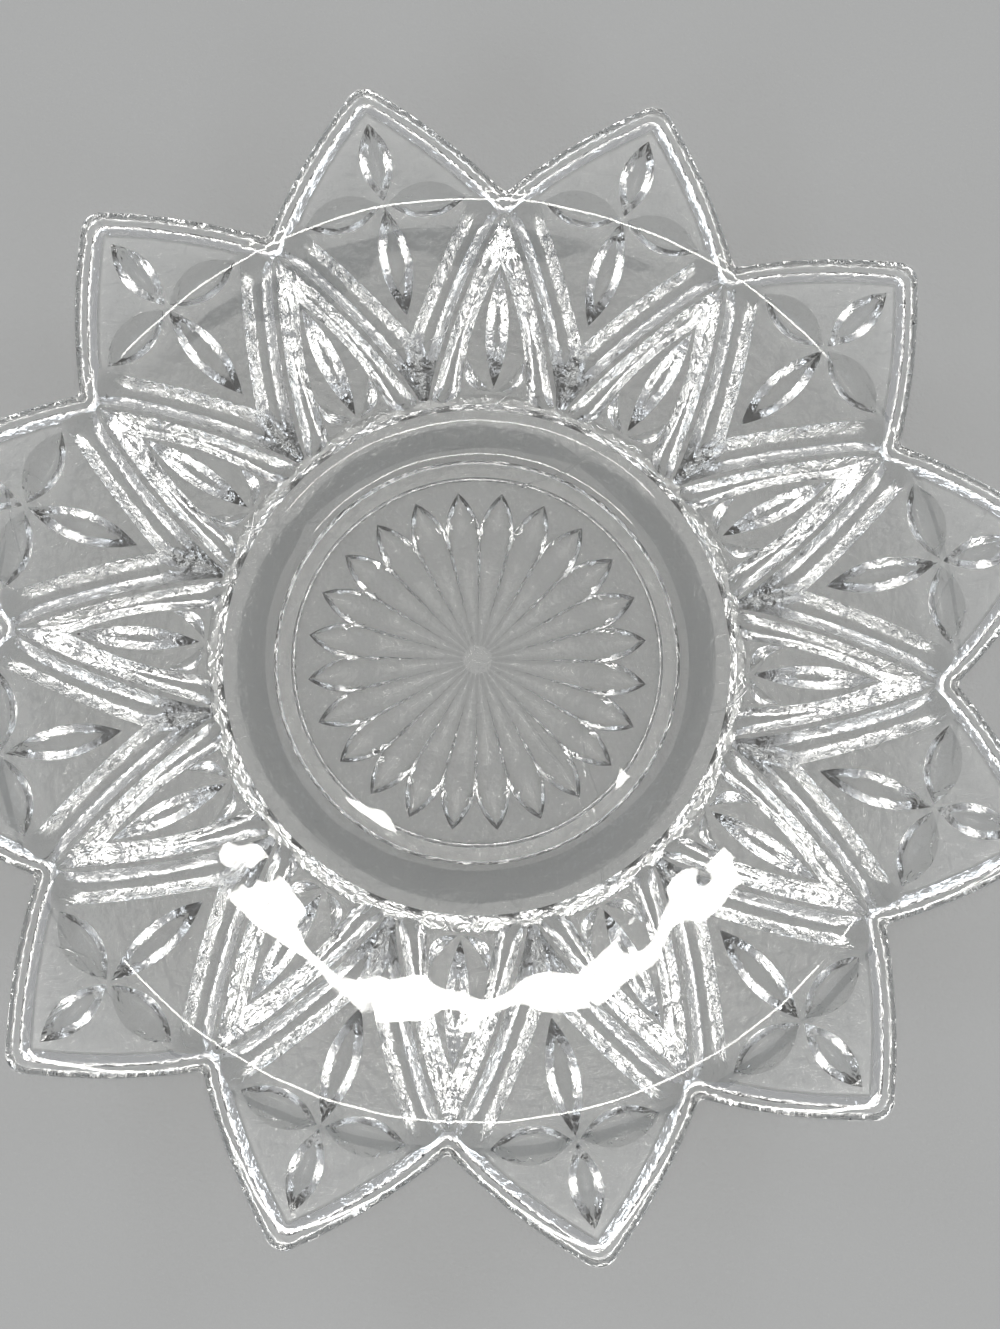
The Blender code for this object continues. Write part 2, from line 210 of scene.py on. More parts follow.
def deselect_all():
    """Leaves edit mode and selects nothing."""
    if bpy.context.mode != "OBJECT":
        bpy.ops.object.mode_set(mode="OBJECT")
    bpy.ops.object.select_all(action="DESELECT")


def only(obj):
    """Selects one object and makes it the active one."""
    deselect_all()
    obj.select_set(True)
    bpy.context.view_layer.objects.active = obj


def edit_all(obj):
    """Goes into edit mode on one object with all of it selected."""
    only(obj)
    bpy.ops.object.mode_set(mode="EDIT")
    bpy.ops.mesh.select_all(action="SELECT")


def select_faces(obj, test):
    """Selects, in edit mode, the faces all of whose corners pass the test."""
    only(obj)
    bpy.ops.object.mode_set(mode="EDIT")
    bpy.ops.mesh.select_mode(type="FACE")
    bpy.ops.mesh.select_all(action="DESELECT")
    mesh = bmesh.from_edit_mesh(obj.data)
    for face in mesh.faces:
        face.select_set(all(test(vert.co) for vert in face.verts))
    bmesh.update_edit_mesh(obj.data)


def drawn_out(name, rings):
    """A closed body through rings of points: a disc is extruded ring by ring, and each ring put in place."""
    deselect_all()
    count = len(rings[0])
    bpy.ops.mesh.primitive_circle_add(vertices=count, radius=1, fill_type="NGON")
    obj = bpy.context.object
    obj.name = name
    edit_all(obj)
    for _ in rings[1:]:
        bpy.ops.mesh.extrude_region_move(TRANSFORM_OT_translate={"value": (0, 0, 1)})
    bpy.ops.object.mode_set(mode="OBJECT")
    for vert in obj.data.vertices:
        turn = math.atan2(vert.co.x, vert.co.y) / (2 * math.pi)
        vert.co = rings[round(vert.co.z)][round(turn * count) % count]
    edit_all(obj)
    bpy.ops.mesh.remove_doubles(threshold=MERGE)
    bpy.ops.mesh.normals_make_consistent(inside=False)
    bpy.ops.object.mode_set(mode="OBJECT")
    return obj


def unite(body, other):
    """Joins another solid to the body and takes it away."""
    only(body)
    bpy.ops.object.modifier_add(type="BOOLEAN")
    union = body.modifiers[-1]
    union.operation = "UNION"
    union.object = other
    bpy.ops.object.modifier_apply(modifier=union.name)
    bpy.data.objects.remove(other)


def cut_to_wedge(obj, angle):
    """Keeps what lies between the plane through +X and the plane turned from it by angle, open at both."""
    edit_all(obj)
    bpy.ops.mesh.bisect(plane_co=(0, 0, 0), plane_no=(0, 1, 0), clear_inner=True, threshold=MERGE / 10)
    bpy.ops.mesh.select_all(action="SELECT")
    far = (-math.sin(angle), math.cos(angle), 0)
    bpy.ops.mesh.bisect(plane_co=(0, 0, 0), plane_no=far, clear_outer=True, threshold=MERGE / 10)
    bpy.ops.object.mode_set(mode="OBJECT")


def open_wall(obj, radius):
    """Takes away the upright wall at a radius."""
    select_faces(obj, lambda co: abs(co.xy.length - radius) < MERGE)
    bpy.ops.mesh.delete(type="FACE")
    bpy.ops.object.mode_set(mode="OBJECT")


def mirrored_and_set_round(obj, count):
    """Mirrors a half about the plane through +X, and sets the whole round the axis."""
    only(obj)
    bpy.ops.object.modifier_add(type="MIRROR")
    mirror = obj.modifiers[-1]
    mirror.use_axis = (False, True, False)
    mirror.merge_threshold = MERGE
    bpy.ops.object.modifier_apply(modifier=mirror.name)
    edit_all(obj)
    for _ in range(count - 1):
        bpy.ops.mesh.duplicate()
        bpy.ops.transform.rotate(
            value=2 * math.pi / count, orient_axis="Z", orient_type="GLOBAL", center_override=(0, 0, 0),
        )
    bpy.ops.mesh.select_all(action="SELECT")
    bpy.ops.mesh.remove_doubles(threshold=MERGE)
    bpy.ops.object.mode_set(mode="OBJECT")


# ------------------------------------------------------------------ section of the plate


def soft_step(share):
    """From nought to one, level at both ends."""
    share = min(1.0, max(0.0, share))
    return share * share * (3 - 2 * share)


def top_height(radius):
    """Height of the smooth upper face: well, cove, side, the hollow up to the crease, and points."""
    cut, out = group("section"), group("outline")
    height = cut.foot_height + cut.well_thickness
    height += cut.cove_rise * soft_step((radius - cut.cove_start) / (cut.cove_end - cut.cove_start))
    run = out.notch_radius - cut.cove_end
    side_slope = (cut.side_rise - cut.fold_slope * cut.fold_width / 2) / (run - cut.fold_width / 2)
    height += side_slope * min(max(0.0, radius - cut.cove_end), run)
    turn = min(max(0.0, radius - out.notch_radius + cut.fold_width), cut.fold_width)
    height += (cut.fold_slope - side_slope) * turn * turn / (2 * cut.fold_width)
    height += cut.point_rise * max(0.0, radius - out.notch_radius) / (out.tip_radius - out.notch_radius)
    return height


def ground_height(radius):
    """Height of the underside between the raised parts of the pattern."""
    cut = group("section")
    thinning = soft_step((radius - cut.foot_outer) / (cut.bar_inner - cut.foot_outer))
    return top_height(radius) - cut.well_thickness + thinning * (cut.well_thickness - cut.wall)


def foot_circles():
    """Radii across the foot ring, closer together where its edges turn."""
    cut = group("section")
    quarter = cut.foot_flank / 4
    for k in range(5):
        yield cut.foot_inner + k * quarter
    for k in range(5):
        yield cut.foot_outer - (4 - k) * quarter


def underside(radius):
    """Height of the underside with the foot ring and the bar, but without the pattern."""
    cut = group("section")
    rise = min(radius - cut.foot_inner, cut.foot_outer - radius) / cut.foot_flank
    across = (radius - cut.bar_inner) / cut.bar_width * 2 - 1
    bar = cut.bar_depth * max(0.0, 1 - abs(across))
    return ground_height(radius) * (1 - soft_step(rise)) - bar


# ------------------------------------------------------------------ outline of a point


def at_angle(radius, angle):
    """A point that far from the axis, turned from +X by angle."""
    return Vector((radius * math.cos(angle), radius * math.sin(angle)))


def on_arc(start, end, bow, share):
    """A point of the shallow arc from start to end that stands bow to the left of the straight line."""
    along = end - start
    left = Vector((-along.y, along.x)).normalized()
    return start + along * share + left * (4 * bow * share * (1 - share))


def rim_places(notch_steps=3, side_steps=13, tip_steps=8):
    """Half of a point's outline from its notch to its tip: each place and its outward direction.

    The side's ends and its directions there depend on each other, so they are found by turns."""
    out = group("outline")
    tip = Vector((out.tip_radius - out.tip_rounding, 0))
    notch = at_angle(out.notch_radius + out.notch_rounding, SECTOR / 2)
    tip_turn = notch_turn = SECTOR
    for _ in range(12):
        start = notch - at_angle(out.notch_rounding, notch_turn)
        end = tip + at_angle(out.tip_rounding, tip_turn)
        chord = end - start
        normal = math.atan2(chord.x, -chord.y)
        swing = math.atan(4 * out.side_bow / chord.length)
        tip_turn, notch_turn = normal - swing, normal + swing
    places = []
    for k in range(notch_steps):
        turn = SECTOR / 2 + (notch_turn - SECTOR / 2) * k / notch_steps
        places.append((notch - at_angle(out.notch_rounding, turn), at_angle(1, turn)))
    for k in range(side_steps):
        share = k / side_steps
        turn = notch_turn + (tip_turn - notch_turn) * share
        places.append((on_arc(start, end, out.side_bow, share), at_angle(1, turn)))
    for k in range(tip_steps + 1):
        turn = tip_turn * (1 - k / tip_steps)
        places.append((tip + at_angle(out.tip_rounding, turn), at_angle(1, turn)))
    return places


def reflected(vector, angle):
    """The vector on the other side of the line from the axis at angle."""
    turned = at_angle(1, 2 * angle)
    return Vector((turned.x * vector.x + turned.y * vector.y, turned.y * vector.x - turned.x * vector.y))


BEAD_LIP = 0.94  # how far the bead's outer side closes like a quarter of an ellipse


def bead_drop(inset):
    """How far the bead stands below the ground at a distance from the rim."""
    out = group("outline")
    if inset <= out.bead_crest:
        short = (out.bead_crest - inset) / out.bead_crest
        return out.bead_depth * math.sqrt(1 - BEAD_LIP * short * short)
    return out.bead_depth * max(0.0, (out.bead_width - inset) / (out.bead_width - out.bead_crest))


# ------------------------------------------------------------------ the star's body


CIRCLES_END = 0.003  # from the fold inwards to where the circles of points turn into the star's outline
CREASE_CLEARANCE = 0.0004  # the least glass between the crease and the rim


def between(start, end, steps):
    """That many places from start towards end, without the end."""
    return [start + (end - start) * k / steps for k in range(steps)]


def star_column(base, edge, outward):
    """Points round the plate's section along one column, out on the top and back on the underside."""
    out, cut = group("outline"), group("section")
    last_circle = out.notch_radius - cut.fold_width - CIRCLES_END
    edge_angle = math.atan2(edge.y, edge.x)

    def on_circle(radius):
        spread = soft_step((radius - cut.bar_inner) / (last_circle - cut.bar_inner))
        return at_angle(radius, base + (edge_angle - base) * spread)

    def crossing(inner, outer):
        """Where the line from inner to outer meets the crease, or just short of outer."""
        radius = min(out.notch_radius, outer.length - CREASE_CLEARANCE)
        low, high = 0.0, 1.0
        for _ in range(30):
            middle = (low + high) / 2
            if inner.lerp(outer, middle).length < radius:
                low = middle
            else:
                high = middle
        return inner.lerp(outer, low)

    start = on_circle(last_circle)
    rim_start = edge - outward * out.rim_rounding
    crease = crossing(start, rim_start)
    flat = [on_circle(r) for r in between(cut.join, cut.cove_start, 2)]
    flat += [on_circle(r) for r in between(cut.cove_start, cut.cove_end, 10)]
    flat += [on_circle(r) for r in between(cut.cove_end, last_circle, 5)]
    flat += between(start, crease, 7) + between(crease, rim_start, 4)
    column = [(*p, top_height(p.length)) for p in flat]
    for k in range(5):
        turn = math.pi / 2 * k / 4
        p = edge - outward * (out.rim_rounding * (1 - math.sin(turn)))
        column.append((*p, top_height(p.length) - out.rim_rounding * (1 - math.cos(turn))))

    insets = [out.bead_crest * s for s in (0.0, 0.08, 0.25, 0.55, 1.0)]
    insets += between(out.bead_crest, out.bead_width, 2)[1:]
    for inset in insets:
        p = edge - outward * inset
        column.append((*p, ground_height(p.length) - bead_drop(inset)))
    for place in (0.0, 0.5):
        p = edge - outward * (out.bead_width + place * out.groove_width)
        column.append((*p, ground_height(p.length) + 2 * place * out.groove_depth))
    bead_end = edge - outward * (out.bead_width + out.groove_width)
    crease = crossing(start, bead_end)
    back = between(bead_end, crease, 3) + between(crease, start, 7)
    back += [on_circle(r) for r in between(last_circle, cut.bar_inner + cut.bar_width, 5)]
    back += [on_circle(r) for r in between(cut.bar_inner + cut.bar_width, cut.bar_inner, 6)]
    back += [on_circle(r) for r in between(cut.bar_inner, cut.foot_outer, 6)]
    back += [on_circle(r) for r in reversed(list(foot_circles())[:-1])]
    back.append(on_circle(cut.join))
    column += [(*p, underside(p.length)) for p in back]
    return column


def star_body(margin=2):
    """Half a point, from a little past its middle to a little past its notch."""
    places = rim_places()
    steps = len(places) - 1
    half = SECTOR / 2
    columns = []
    for k in range(-margin, steps + margin + 1):
        edge, outward = places[abs(k) if k <= steps else 2 * steps - k]
        if k < 0:
            edge, outward = reflected(edge, half), reflected(outward, half)
        if k > steps:
            edge, outward = reflected(edge, 0), reflected(outward, 0)
        columns.append(star_column(half * (1 - k / steps), edge, outward))
    return drawn_out("pressed_star_plate", columns)


# ------------------------------------------------------------------ the relief


# Places across a ridge, whose edges are at -1 and 1.
ACROSS = (-1.07, -0.8, -0.56, -0.38, -0.2, 0.0, 0.2, 0.38, 0.56, 0.8, 1.07)
ROOT = 0.0008  # how far a ridge reaches up into the glass
ROOT_LIMIT = 0.6  # the most that it reaches up, as a share of the ridge's half width
SEAT = 0.00006  # how far a ridge's pointed ends sit in the glass
CROWN_SOFTNESS = 0.0003  # how gently a ridge's flank turns into its crown
SIDE_PETAL_GAP = 0.0004  # how much further from the heart a side petal starts
LEAF_CLEARANCE = 0.0008  # from the bar to the side leaves
LEAF_ASIDE = 0.0006  # from the arch's middle line to where a side leaf starts
RIB_ON_BAR = 0.0006  # from the bar's inner edge to the foot of the ribs
APEX_IN_BEAD = 0.55  # how far into the bead an arch's ribs run, as a share of its width
GAP_CLOSING = 0.15  # share of a rib along which the gap between the ribs opens and closes
LOW_END = 0.25  # share of its depth that a rib keeps at its ends
LOW_END_LENGTH = 0.09  # share of a rib along which its depth grows from that
CORNER_ON_BAR = 0.6  # how far across the bar the panel's corners lie


def ridge_depth(inset, flank, crown, steepness):
    """Depth of a ridge at a distance from its edge: a steep flank, then a crown of gentle slope."""
    turn = math.hypot(inset - flank, CROWN_SOFTNESS) - math.hypot(flank, CROWN_SOFTNESS)
    return steepness * inset - (steepness - crown) * (inset + turn) / 2


def ridge(left, right, stations, flank, crown, relief=lambda along: 1.0, steepness=None):
    """A ridge under the plate between two rails. The rails, the flank's width and the share of its
    full depth are functions of the share along it."""
    steepness = steepness or group("pattern").steepness
    rings = []
    for k in range(stations + 1):
        along = k / stations
        a, b = left(along), right(along)
        half = (b - a).length / 2
        ring = []
        for across in ACROSS:
            p = a.lerp(b, (1 + across) / 2)
            drop = ridge_depth(half * (1 - abs(across)), flank(along), crown, steepness) * relief(along)
            ring.append((*p, ground_height(p.length) + SEAT - drop))
        for across in (ACROSS[-1], ACROSS[0]):
            p = a.lerp(b, (1 + across) / 2)
            ring.append((*p, ground_height(p.length) + SEAT + min(ROOT, half * ROOT_LIMIT)))
        rings.append(ring)
    return drawn_out("ridge", rings)


def lens(start, end, width, bow=0.0, stations=14, steepness=None):
    """A ridge shaped like a lens in outline, pointed at both ends."""
    pattern = group("pattern")
    return ridge(
        lambda s: on_arc(start, end, bow - width / 2, s),
        lambda s: on_arc(start, end, bow + width / 2, s),
        stations, lambda s: pattern.petal_flank, pattern.crown, steepness=steepness,
    )


def on_arch(up, across):
    """A point given along an arch's middle line from the plate's axis, and across it."""
    return at_angle(up, SECTOR / 2) + at_angle(across, SECTOR / 2 - math.pi / 2)


def joined(first, second, share):
    """One rail made of two, the first up to that share of the way."""
    return lambda s: first(s / share) if s < share else second((s - share) / (1 - share))


def flower(body):
    """Three of a point's four petals; the fourth comes with the mirroring."""
    pattern = group("pattern")
    heart = Vector((pattern.heart, 0))
    gap = pattern.petal_gap
    side_end = heart + Vector((-pattern.side_drop, pattern.side_petal))
    side_start = heart + (side_end - heart).normalized() * (gap + SIDE_PETAL_GAP)
    unite(body, lens(heart + Vector((gap, 0)), Vector((pattern.outer_petal, 0)), pattern.petal_width))
    unite(body, lens(heart - Vector((gap, 0)), Vector((pattern.inner_petal, 0)), pattern.petal_width))
    unite(body, lens(side_start, side_end, pattern.petal_width))


def arch_leaves(body):
    """The long leaf under an arch and one of the two beside its foot."""
    pattern, cut = group("pattern"), group("section")
    base = cut.bar_inner + cut.bar_width + LEAF_CLEARANCE
    unite(body, lens(on_arch(pattern.leaf_start, 0), on_arch(pattern.leaf_end, 0), pattern.leaf_width))
    start = on_arch(base, LEAF_ASIDE)
    end = on_arch(base + pattern.side_leaf_rise, pattern.side_leaf_spread)
    shape = (pattern.side_leaf_width, -pattern.side_leaf_bow, 12, pattern.side_leaf_steepness)
    unite(body, lens(start, end, *shape))


def low_ends(along):
    """Full depth but for the two ends, where a rib runs into the bar and into the bead."""
    return LOW_END + (1 - LOW_END) * soft_step(min(along, 1 - along) / LOW_END_LENGTH)


def arch_ribs(body):
    """The outer and the inner rib on one side of an arch, with a strip of ground between them."""
    pattern, cut, out = group("pattern"), group("section"), group("outline")
    foot = Vector((cut.bar_inner + RIB_ON_BAR, 0))
    apex = on_arch(out.notch_radius - out.bead_width * APEX_IN_BEAD, 0)
    lean = (apex - foot).normalized()
    aside = Vector((-lean.y, lean.x)) * (pattern.rib_gap / 2)

    def parting(side):
        """The line between the ribs, moved to one side of the gap, which closes at both ends."""
        def rail(s):
            opening = soft_step(min(s, 1 - s) / GAP_CLOSING)
            return on_arc(foot, apex, -pattern.arch_bow, s) + aside * side * opening
        return rail

    def share_beside(point):
        return (point - foot).dot(lean) / (apex - foot).length

    fork = Vector((pattern.fork, -pattern.lap))
    bead_corner = next(
        edge - outward * out.bead_width for edge, outward in rim_places()
        if (edge - outward * out.bead_width).length > out.notch_radius
    )
    kite_side = joined(
        lambda s: Vector((foot.x, -pattern.lap)).lerp(fork, s),
        lambda s: on_arc(fork, bead_corner, -pattern.kite_bow, s),
        share_beside(fork),
    )
    unite(body, ridge(
        kite_side, parting(-1), 20, lambda s: pattern.outer_flank, pattern.crown, low_ends,
        pattern.outer_steepness,
    ))

    half_base = (cut.bar_inner + cut.bar_width) * math.sin(SECTOR / 2) - pattern.inner_rib_foot
    corner = on_arch(cut.bar_inner + cut.bar_width * CORNER_ON_BAR, half_base)
    panel_top = on_arch(pattern.panel_apex, -pattern.lap)
    past_top = on_arch(apex.length, -pattern.lap)
    panel_side = joined(
        lambda s: on_arc(corner, panel_top, -pattern.arch_bow, s),
        lambda s: panel_top.lerp(past_top, s),
        share_beside(panel_top),
    )
    unite(body, ridge(parting(1), panel_side, 20, lambda s: pattern.inner_flank, pattern.crown, low_ends))


def star():
    """The star with its relief, from the rosette's ground out, all twelve points of it."""
    body = star_body()
    flower(body)
    arch_leaves(body)
    arch_ribs(body)
    cut_to_wedge(body, SECTOR / 2)
    open_wall(body, group("section").join)
    mirrored_and_set_round(body, POINTS)
    return body


# ------------------------------------------------------------------ the rosette


RAYS_START = 3  # where the rays start, in radii of the eye
TIP_FULLNESS = 0.9  # how full a ray's tip is, 1 for a parabola
INNER_RELIEF = 0.6  # share of its slope that a ray has where it starts
RELIEF_GROWTH = 0.35  # share of a ray along which its slope grows to the full one
TIP_START, TIP_GROWTH = 0.5, 0.3  # where along a ray its flanks start to widen, and over how much of it


def rosette_column(angle):
    """Points round the well's section at one angle, out on the top and back on the underside."""
    cut, pattern = group("section"), group("pattern")
    top = [*between(cut.eye, cut.join, 3), cut.join]
    below = between(cut.join, pattern.ray_tip, 1) + between(pattern.ray_tip, cut.eye, 6) + [cut.eye]
    column = [(*at_angle(r, angle), top_height(r)) for r in top]
    return column + [(*at_angle(r, angle), underside(r)) for r in below]


def rosette(steps=12, margin=1):
    """The flat well with its rays: half a ray, mirrored and set round."""
    pattern, cut = group("pattern"), group("section")
    half = RAY_SECTOR / 2
    columns = [rosette_column(half * k / steps) for k in range(-margin, steps + margin + 1)]
    body = drawn_out("rosette", columns)
    start = cut.eye * RAYS_START
    parting = (pattern.ray_parting - start) / (pattern.ray_tip - start)

    def half_width(s):
        radius = start + s * (pattern.ray_tip - start)
        full = min(radius, pattern.ray_parting) * math.tan(half) + pattern.lap
        past = max(0.0, s - parting) / (1 - parting)
        return full * (1 - past * past) ** TIP_FULLNESS

    def rail(side):
        return lambda s: Vector((start + s * (pattern.ray_tip - start), side * half_width(s)))

    def flank(s):
        widening = pattern.ray_tip_flank - pattern.ray_flank
        return pattern.ray_flank + widening * soft_step((s - TIP_START) / TIP_GROWTH)

    def relief(s):
        return INNER_RELIEF + (1 - INNER_RELIEF) * soft_step(s / RELIEF_GROWTH)

    unite(body, ridge(rail(-1), rail(1), 24, flank, pattern.ray_crown, relief))
    cut_to_wedge(body, half)
    open_wall(body, cut.join)
    open_wall(body, cut.eye)
    mirrored_and_set_round(body, RAYS)
    edit_all(body)
    bpy.ops.transform.rotate(
        value=pattern.ray_phase, orient_axis="Z", orient_type="GLOBAL", center_override=(0, 0, 0),
    )
    bpy.ops.object.mode_set(mode="OBJECT")
    return body


# ------------------------------------------------------------------ glass


class Wire:
    """A node's output that can be used in sums; a sum adds its Math nodes to the material."""

    def __init__(self, tree, socket=None):
        self.tree = tree
        self.socket = socket

    def node(self, kind, settings=None, inputs=None, output=0):
        """Adds a node, makes its settings, fills or links its sockets and hands on one of its outputs."""
        made = self.tree.nodes.new("ShaderNode" + kind)
        for name, value in (settings or {}).items():
            setattr(made, name, value)
        for name, value in (inputs or {}).items():
            if isinstance(value, Wire):
                self.tree.links.new(value.socket, made.inputs[name])
            else:
                made.inputs[name].default_value = value
        return Wire(self.tree, made.outputs[output] if made.outputs else None)

    def _sum(self, operation, first, second):
        return self.node("Math", {"operation": operation}, {0: first, 1: second})

    def __add__(self, other):
        return self._sum("ADD", self, other)

    def __sub__(self, other):
        return self._sum("SUBTRACT", self, other)

    def __rsub__(self, other):
        return self._sum("SUBTRACT", other, self)

    def __mul__(self, other):
        return self._sum("MULTIPLY", self, other)

    __radd__ = __add__
    __rmul__ = __mul__

    def between(self, low, high):
        """Zero below low, one above high and a soft step from one to the other."""
        settings = {"interpolation_type": "SMOOTHSTEP", "clamp": True}
        return self.node("MapRange", settings, {"Value": self, "From Min": low, "From Max": high})


def new_material(name):
    """An empty material and a wire to add its nodes with."""
    material = bpy.data.materials.new(name)
    material.use_nodes = True
    tree = material.node_tree
    tree.nodes.clear()
    return material, Wire(tree)


def finished_with(wire, surface):
    wire.node("OutputMaterial", inputs={"Surface": surface})


def noise(wire, place, scale, detail=2.0, distortion=0.0):
    """Grey noise about 0.5, its scale in grains to the metre."""
    inputs = {"Vector": place, "Scale": scale, "Detail": detail, "Distortion": distortion}
    return wire.node("TexNoise", inputs=inputs)


def bumped(wire, height, depth, under=None):
    """A normal bumped by a height from nought to one, that many metres deep."""
    inputs = {"Height": height, "Distance": depth, "Strength": 1.0}
    if under:
        inputs["Normal"] = under
    return wire.node("Bump", inputs=inputs)


# Grains to the metre, and depths in metres, of what the bump of the glass is made from.
RIPPLE_GRAINS, RIPPLE_DEPTH = 45, 0.0004
MARK_GRAINS, MARK_DEPTH = 330, 0.0004
STIPPLE_GRAINS, STIPPLE_DEPTH = 900.0, 0.0003
STIPPLE_FADE = 0.0004  # how far before the foot ring the stipple ends
GROUND_BAND = (0.0002, 0.00005)  # below the ground's height, where the stipple starts and is whole
RAY_MARGIN = 0.002  # over which the stipple begins round the rays
SCRATCH_GRAINS, SCRATCH_DEPTH = 11, 0.00008
SCRATCH_EDGE, SCRATCH_END = 0.0008, 0.0030  # half width of a scratch, in shades of its noise
PATCH_GRAINS = 17  # of the patches that have scratches
PATCH_EDGE = (0.56, 0.60)  # shades of the noise where a patch starts and is whole
WEAR_GRAINS = 160
WEAR_EDGE = (0.55, 0.75)  # shades of the noise where wear starts and is full
WEAR, POLISH = 0.05, 0.01  # roughness that wear adds, and of the glass where it is unworn


def pressed_glass():
    """Clear soda glass: a rippled upper face with wear, and a mould-marked pattern below."""
    look, cut, pattern = group("glass"), group("section"), group("pattern")
    material, wire = new_material("pressed_glass")
    place = wire.node("TexCoord", output="Object")
    below = wire.node("Attribute", {"attribute_name": "below"}, output="Fac")
    flat = wire.node("VectorMath", {"operation": "MULTIPLY"}, {0: place, 1: (1, 1, 0)})
    radius = wire.node("VectorMath", {"operation": "LENGTH"}, {0: flat}, output="Value")
    height = wire.node("SeparateXYZ", inputs={"Vector": place}, output="Z")

    ripples = noise(wire, place, RIPPLE_GRAINS, 1.0)
    normal = bumped(wire, ripples * (1 - below), RIPPLE_DEPTH)
    mould_marks = noise(wire, place, MARK_GRAINS, 3.0, 0.6)
    normal = bumped(wire, mould_marks * below, MARK_DEPTH, normal)
    on_ground = height.between(*(cut.foot_height - depth for depth in GROUND_BAND))
    around_rays = radius.between(pattern.ray_parting, pattern.ray_parting + RAY_MARGIN)
    within_foot = 1 - radius.between(cut.foot_inner - STIPPLE_FADE, cut.foot_inner)
    stipple = wire.node("TexVoronoi", inputs={"Vector": place, "Scale": STIPPLE_GRAINS}, output="Distance")
    normal = bumped(wire, stipple * on_ground * around_rays * within_foot * below, STIPPLE_DEPTH, normal)
    wander = noise(wire, place, SCRATCH_GRAINS, 0.0, 1.5) - 0.5
    line = 1 - wire.node("Math", {"operation": "ABSOLUTE"}, {0: wander}).between(SCRATCH_EDGE, SCRATCH_END)
    scratches = line * noise(wire, place, PATCH_GRAINS, 0.0).between(*PATCH_EDGE) * (1 - below)
    normal = bumped(wire, scratches, SCRATCH_DEPTH, normal)
    worn = noise(wire, place, WEAR_GRAINS, 4.0).between(*WEAR_EDGE)
    surface = wire.node("BsdfPrincipled", inputs={
        "Base Color": (*look.tint, 1), "Roughness": worn * WEAR + POLISH, "IOR": look.ior,
        "Transmission Weight": 1.0, "Normal": normal,
    })
    finished_with(wire, surface)
    return material


# ------------------------------------------------------------------ operators


def mark_pattern_side(obj):
    """Stores, for the glass, which points lie on the underside."""
    marks = obj.data.attributes.new("below", "FLOAT", "POINT")
    for vert in obj.data.vertices:
        marks.data[vert.index].value = 1.0 if vert.normal.z < 0 else 0.0


def mark_crease(obj):
    """Makes the edges sharp where the hollow ends in a crease on the upper face."""
    crease = group("outline").notch_radius
    only(obj)
    bpy.ops.object.mode_set(mode="EDIT")
    bpy.ops.mesh.select_mode(type="EDGE")
    bpy.ops.mesh.select_all(action="DESELECT")
    mesh = bmesh.from_edit_mesh(obj.data)
    for edge in mesh.edges:
        on_circle = all(abs(v.co.xy.length - crease) < MERGE for v in edge.verts)
        edge.select_set(on_circle and edge.verts[0].normal.z > 0)
    bmesh.update_edit_mesh(obj.data)
    bpy.ops.mesh.mark_sharp()
    bpy.ops.object.mode_set(mode="OBJECT")


class PLATE_OT_star_plate(bpy.types.Operator):
    """Models the plate in one body of clear glass"""

    bl_idname = "plate.star_plate"
    bl_label = "Star Plate"

    def execute(self, context):
        plate = star()
        well = rosette()
        only(plate)
        well.select_set(True)
        bpy.ops.object.join()
        edit_all(plate)
        bpy.ops.mesh.remove_doubles(threshold=MERGE)
        bpy.ops.mesh.fill_holes(sides=0)
        bpy.ops.mesh.select_all(action="SELECT")
        bpy.ops.mesh.normals_make_consistent(inside=False)
        bpy.ops.object.mode_set(mode="OBJECT")
        bpy.ops.object.shade_smooth_by_angle(angle=SMOOTH_ANGLE)
        mark_crease(plate)
        mark_pattern_side(plate)
        plate.data.materials.append(pressed_glass())
        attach(plate, "root")
        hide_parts("star_plate")
        return {"FINISHED"}


class PLATE_OT_studio(bpy.types.Operator):
    """Lays the floor, hangs the lights and sets the camera"""

    bl_idname = "plate.studio"
    bl_label = "Studio"

    def execute(self, context):
        lay_floor()
        hang_lights()
        set_camera()
        return {"FINISHED"}


def lay_floor():
    """A plain pale disc with a fine grain."""
    deselect_all()
    bpy.ops.mesh.primitive_circle_add(
        vertices=96, radius=FLOOR_RADIUS, fill_type="NGON", location=(0, 0, FLOOR_HEIGHT),
    )
    floor = bpy.context.object
    floor.name = "floor"
    material, wire = new_material("pale_floor")
    place = wire.node("TexCoord", output="Object")
    grain = noise(wire, place, FLOOR_GRAINS, 3.0)
    colour = (*group("studio").floor_colour, 1)
    surface = wire.node("BsdfPrincipled", inputs={
        "Base Color": colour, "Roughness": 0.9, "Specular IOR Level": 0.2,
        "Normal": bumped(wire, grain, FLOOR_GRAIN_DEPTH),
    })
    finished_with(wire, surface)
    floor.data.materials.append(material)


def soft_light(name, place, width, depth, radiance, colour):
    """A flat light aimed at the plate, its brightness the same however large it is."""
    deselect_all()
    bpy.ops.object.light_add(type="AREA", location=place)
    light = bpy.context.object
    light.name = name
    light.rotation_euler = (-Vector(place)).to_track_quat("-Z", "Y").to_euler()
    light.data.shape = "RECTANGLE"
    light.data.size = width
    light.data.size_y = depth
    light.data.energy = radiance * width * depth * math.pi
    light.data.color = colour


WARM_WHITE = (1.0, 0.98, 0.94)
COOL_WHITE = (0.88, 0.94, 1.0)
ROOM_WHITE = (0.95, 0.97, 1.0, 1)
ROOM_STRENGTH = 0.32
OVERHEAD = {"place": (0, 0, 1.3), "width": 1.0, "depth": 1.0, "radiance": 1.7, "colour": WARM_WHITE}
LAMP = {"width": 0.162, "depth": 0.036, "radiance": 20, "colour": WARM_WHITE}
SIDE_SOFTBOX = {"width": 0.7, "depth": 0.4, "radiance": 1.8, "colour": COOL_WHITE}


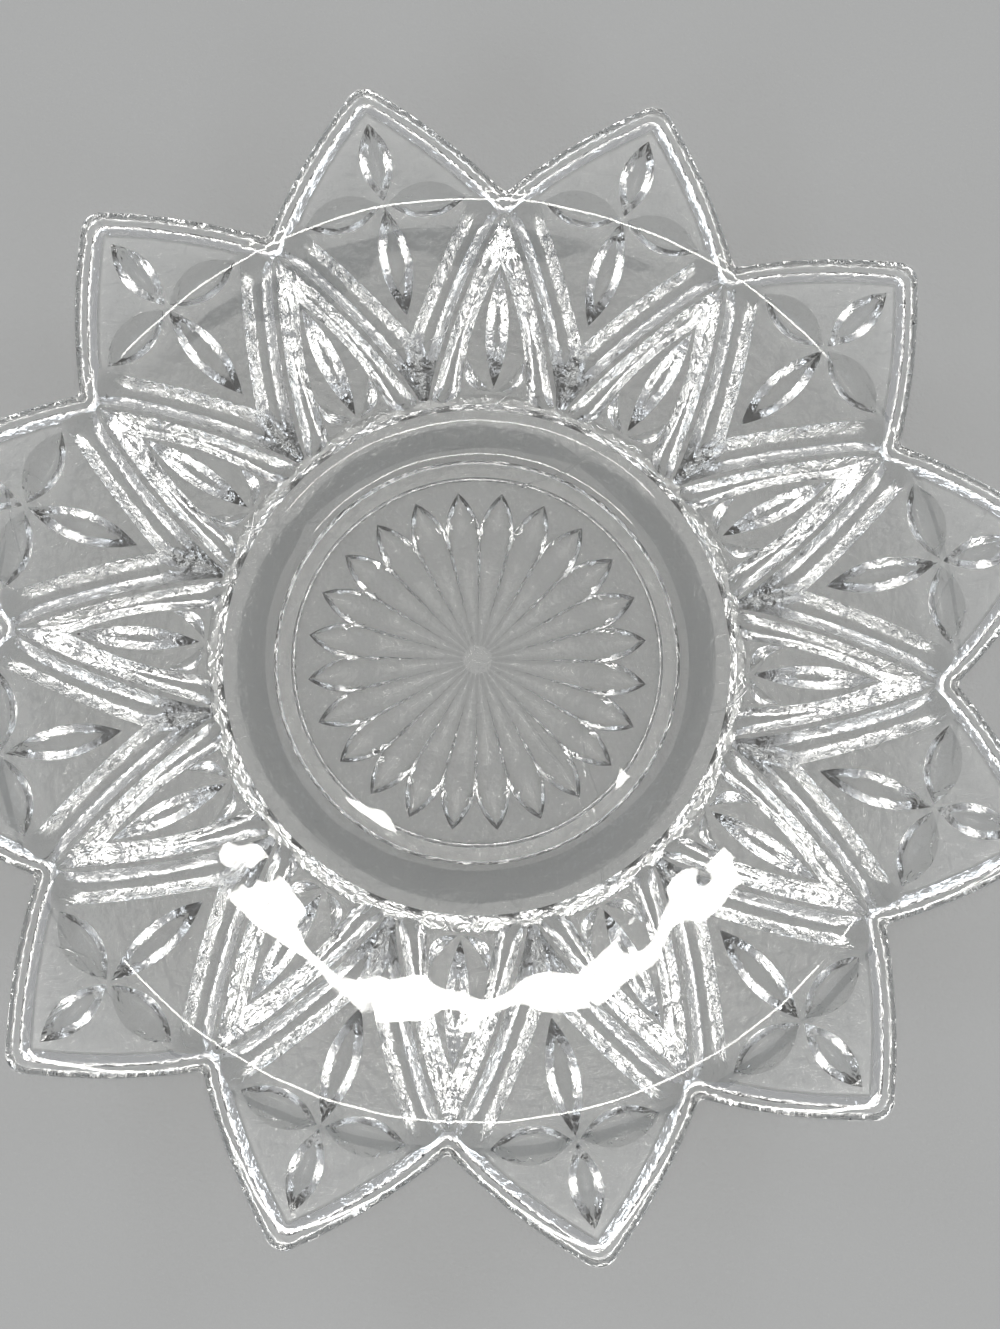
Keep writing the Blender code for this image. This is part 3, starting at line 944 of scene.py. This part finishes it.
def ring_of_lights(name, count, first, step, reach, height, light):
    """Like lights round the axis: how many, the first one's direction in degrees, the turn to the next."""
    for k in range(count):
        turn = math.radians(first + step * k)
        place = (reach * math.cos(turn), reach * math.sin(turn), height)
        soft_light(name + "_" + str(k + 1), place, **light)


def hang_lights():
    """Three lamps in an arc, a softbox overhead, four softboxes round the plate, and a pale room."""
    ring_of_lights("lamp", 3, -147, 45, 0.195, 1.1, LAMP)
    soft_light("overhead_softbox", **OVERHEAD)
    ring_of_lights("softbox", 4, 30, 90, 1.2, 0.5, SIDE_SOFTBOX)
    world = bpy.data.worlds.new("soft_room")
    world.use_nodes = True
    sky = world.node_tree.nodes["Background"]
    sky.inputs["Color"].default_value = ROOM_WHITE
    sky.inputs["Strength"].default_value = ROOM_STRENGTH
    bpy.context.scene.world = world
    bpy.context.scene.view_settings.view_transform = "Standard"


def set_camera():
    """Looks down on the plate from almost straight above."""
    deselect_all()
    bpy.ops.object.camera_add(location=CAMERA_PLACE, rotation=CAMERA_TURN)
    camera = bpy.context.object
    camera.data.sensor_width = SENSOR_WIDTH
    camera.data.lens = group("studio").lens
    camera.data.clip_start = 0.01
    bpy.context.scene.camera = camera


class PLATE_PT_sidebar(bpy.types.Panel):
    """Lists the plate's sizes and what makes it"""

    bl_idname = "PLATE_PT_sidebar"
    bl_label = "Star Plate"
    bl_space_type = "VIEW_3D"
    bl_region_type = "UI"
    bl_category = "Star Plate"

    def draw(self, context):
        for operator in OPERATORS:
            self.layout.operator(operator.bl_idname)
        for name, kind in GROUPS.items():
            box = self.layout.box()
            box.label(text=kind.__doc__)
            for key in kind.__annotations__:
                box.prop(group(name), key)


OPERATORS = (PLATE_OT_star_plate, PLATE_OT_studio)
CLASSES = (*GROUPS.values(), *OPERATORS, PLATE_PT_sidebar)


def register():
    for kind in CLASSES:
        bpy.utils.register_class(kind)
    for name, kind in GROUPS.items():
        setattr(bpy.types.Scene, "plate_" + name, bpy.props.PointerProperty(type=kind))


def unregister():
    for name in GROUPS:
        delattr(bpy.types.Scene, "plate_" + name)
    for kind in reversed(CLASSES):
        bpy.utils.unregister_class(kind)


def main():
    register()
    bpy.ops.plate.star_plate()
    bpy.ops.plate.studio()


if __name__ == "__main__":
    main()
